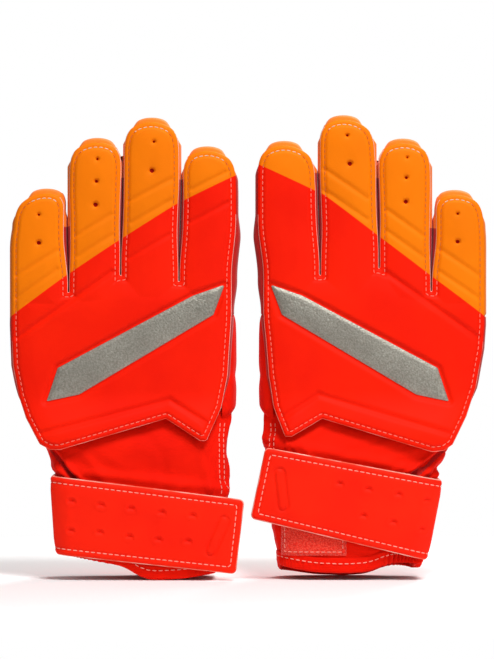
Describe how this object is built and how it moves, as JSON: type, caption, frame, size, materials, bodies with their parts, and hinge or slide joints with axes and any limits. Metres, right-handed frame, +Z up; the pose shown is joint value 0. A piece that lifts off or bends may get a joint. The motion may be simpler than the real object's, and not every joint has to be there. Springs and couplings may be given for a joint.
{
  "type": "goalkeeper gloves",
  "caption": "Padded latex goalkeeper gloves with jointed hollow fingers, folded thumbs and a wrist strap tab that peels open.",
  "frame": {"origin": "on the floor under the middle of the pair's box", "axes": "+X across the pair, from the left glove to the right glove; +Y from the backs of the hands to the palms; +Z up along the fingers"},
  "size_m": [0.2782, 0.0716, 0.271],
  "materials": {
    "red_latex": "matte",
    "orange_latex": "matte",
    "cream_latex": "matte",
    "silver": "satin",
    "fabric": "matte",
    "strap": "matte",
    "loop_tape": "matte",
    "hook_tape": "matte"
  },
  "bodies": {
    "left_hand": {"left_hand_sleeve": "fabric", "left_back_panel": "red_latex", "left_emblem": "silver", "left_palm_panel": "cream_latex", "left_cuff": "fabric", "left_hem": "fabric", "left_loop_patch": "loop_tape", "left_strap_wrap": "strap"},
    "left_little_base": {"left_little_base_roll": "cream_latex", "left_little_base_pad": "orange_latex"},
    "left_little_tip": {"left_little_tip_roll": "cream_latex", "left_little_tip_pad": "orange_latex"},
    "left_ring_base": {"left_ring_base_roll": "cream_latex", "left_ring_base_pad": "orange_latex"},
    "left_ring_tip": {"left_ring_tip_roll": "cream_latex", "left_ring_tip_pad": "orange_latex"},
    "left_middle_base": {"left_middle_base_roll": "cream_latex", "left_middle_base_pad": "orange_latex"},
    "left_middle_tip": {"left_middle_tip_roll": "cream_latex", "left_middle_tip_pad": "orange_latex"},
    "left_index_base": {"left_index_base_roll": "cream_latex", "left_index_base_pad": "orange_latex"},
    "left_index_tip": {"left_index_tip_roll": "cream_latex", "left_index_tip_pad": "orange_latex"},
    "left_thumb": {"left_thumb_roll": "cream_latex", "left_thumb_pad": "red_latex"},
    "left_strap": {"left_strap_tab": "strap", "left_hook_patch": "hook_tape"},
    "right_hand": {"right_hand_sleeve": "fabric", "right_back_panel": "red_latex", "right_emblem": "silver", "right_palm_panel": "cream_latex", "right_cuff": "fabric", "right_hem": "fabric", "right_loop_patch": "loop_tape", "right_strap_wrap": "strap"},
    "right_little_base": {"right_little_base_roll": "cream_latex", "right_little_base_pad": "orange_latex"},
    "right_little_tip": {"right_little_tip_roll": "cream_latex", "right_little_tip_pad": "orange_latex"},
    "right_ring_base": {"right_ring_base_roll": "cream_latex", "right_ring_base_pad": "orange_latex"},
    "right_ring_tip": {"right_ring_tip_roll": "cream_latex", "right_ring_tip_pad": "orange_latex"},
    "right_middle_base": {"right_middle_base_roll": "cream_latex", "right_middle_base_pad": "orange_latex"},
    "right_middle_tip": {"right_middle_tip_roll": "cream_latex", "right_middle_tip_pad": "orange_latex"},
    "right_index_base": {"right_index_base_roll": "cream_latex", "right_index_base_pad": "orange_latex"},
    "right_index_tip": {"right_index_tip_roll": "cream_latex", "right_index_tip_pad": "orange_latex"},
    "right_thumb": {"right_thumb_roll": "cream_latex", "right_thumb_pad": "red_latex"},
    "right_strap": {"right_strap_tab": "strap", "right_hook_patch": "hook_tape"}
  },
  "joints": [
    {"name": "left_little_knuckle", "type": "hinge", "parent": "left_hand", "child": "left_little_base", "pos_m": [-0.1228, -0.00035, 0.179], "axis": [-1, 0, 0], "range_deg": [0, 70]},
    {"name": "left_little_middle_joint", "type": "hinge", "parent": "left_little_base", "child": "left_little_tip", "pos_m": [-0.1228, -0.00035, 0.203], "axis": [-1, 0, 0], "range_deg": [0, 80]},
    {"name": "left_ring_knuckle", "type": "hinge", "parent": "left_hand", "child": "left_ring_base", "pos_m": [-0.0891, -0.00035, 0.189], "axis": [-1, 0, 0], "range_deg": [0, 70]},
    {"name": "left_ring_middle_joint", "type": "hinge", "parent": "left_ring_base", "child": "left_ring_tip", "pos_m": [-0.0891, -0.00035, 0.219], "axis": [-1, 0, 0], "range_deg": [0, 80]},
    {"name": "left_middle_knuckle", "type": "hinge", "parent": "left_hand", "child": "left_middle_base", "pos_m": [-0.0565, -0.00035, 0.189], "axis": [-1, 0, 0], "range_deg": [0, 70]},
    {"name": "left_middle_middle_joint", "type": "hinge", "parent": "left_middle_base", "child": "left_middle_tip", "pos_m": [-0.0565, -0.00035, 0.221], "axis": [-1, 0, 0], "range_deg": [0, 80]},
    {"name": "left_index_knuckle", "type": "hinge", "parent": "left_hand", "child": "left_index_base", "pos_m": [-0.0226, -0.00035, 0.189], "axis": [-1, 0, 0], "range_deg": [0, 70]},
    {"name": "left_index_middle_joint", "type": "hinge", "parent": "left_index_base", "child": "left_index_tip", "pos_m": [-0.0226, -0.00035, 0.217], "axis": [-1, 0, 0], "range_deg": [0, 80]},
    {"name": "left_thumb_fold", "type": "hinge", "parent": "left_hand", "child": "left_thumb", "pos_m": [-0.0117, 0.01935, 0.125], "axis": [0, 0, -1], "range_deg": [0, 60]},
    {"name": "left_strap_peel", "type": "hinge", "parent": "left_hand", "child": "left_strap", "pos_m": [-0.1132, -0.03575, 0.03836], "axis": [0.0663, 0, -0.9978], "range_deg": [0, 140]},
    {"name": "right_little_knuckle", "type": "hinge", "parent": "right_hand", "child": "right_little_base", "pos_m": [0.1228, -0.00035, 0.179], "axis": [-1, 0, 0], "range_deg": [0, 70]},
    {"name": "right_little_middle_joint", "type": "hinge", "parent": "right_little_base", "child": "right_little_tip", "pos_m": [0.1228, -0.00035, 0.203], "axis": [-1, 0, 0], "range_deg": [0, 80]},
    {"name": "right_ring_knuckle", "type": "hinge", "parent": "right_hand", "child": "right_ring_base", "pos_m": [0.0891, -0.00035, 0.189], "axis": [-1, 0, 0], "range_deg": [0, 70]},
    {"name": "right_ring_middle_joint", "type": "hinge", "parent": "right_ring_base", "child": "right_ring_tip", "pos_m": [0.0891, -0.00035, 0.219], "axis": [-1, 0, 0], "range_deg": [0, 80]},
    {"name": "right_middle_knuckle", "type": "hinge", "parent": "right_hand", "child": "right_middle_base", "pos_m": [0.0565, -0.00035, 0.189], "axis": [-1, 0, 0], "range_deg": [0, 70]},
    {"name": "right_middle_middle_joint", "type": "hinge", "parent": "right_middle_base", "child": "right_middle_tip", "pos_m": [0.0565, -0.00035, 0.221], "axis": [-1, 0, 0], "range_deg": [0, 80]},
    {"name": "right_index_knuckle", "type": "hinge", "parent": "right_hand", "child": "right_index_base", "pos_m": [0.0226, -0.00035, 0.189], "axis": [-1, 0, 0], "range_deg": [0, 70]},
    {"name": "right_index_middle_joint", "type": "hinge", "parent": "right_index_base", "child": "right_index_tip", "pos_m": [0.0226, -0.00035, 0.217], "axis": [-1, 0, 0], "range_deg": [0, 80]},
    {"name": "right_thumb_fold", "type": "hinge", "parent": "right_hand", "child": "right_thumb", "pos_m": [0.0117, 0.01935, 0.125], "axis": [0, 0, 1], "range_deg": [0, 60]},
    {"name": "right_strap_peel", "type": "hinge", "parent": "right_hand", "child": "right_strap", "pos_m": [0.1087, -0.03575, 0.03528], "axis": [0.1908, 0, 0.9816], "range_deg": [0, 140]},
    {"name": "right_glove_lift", "type": "slide", "parent": "left_hand", "child": "right_hand", "axis": [0, 0, 1], "range_m": [0, 0.06]}
  ]
}
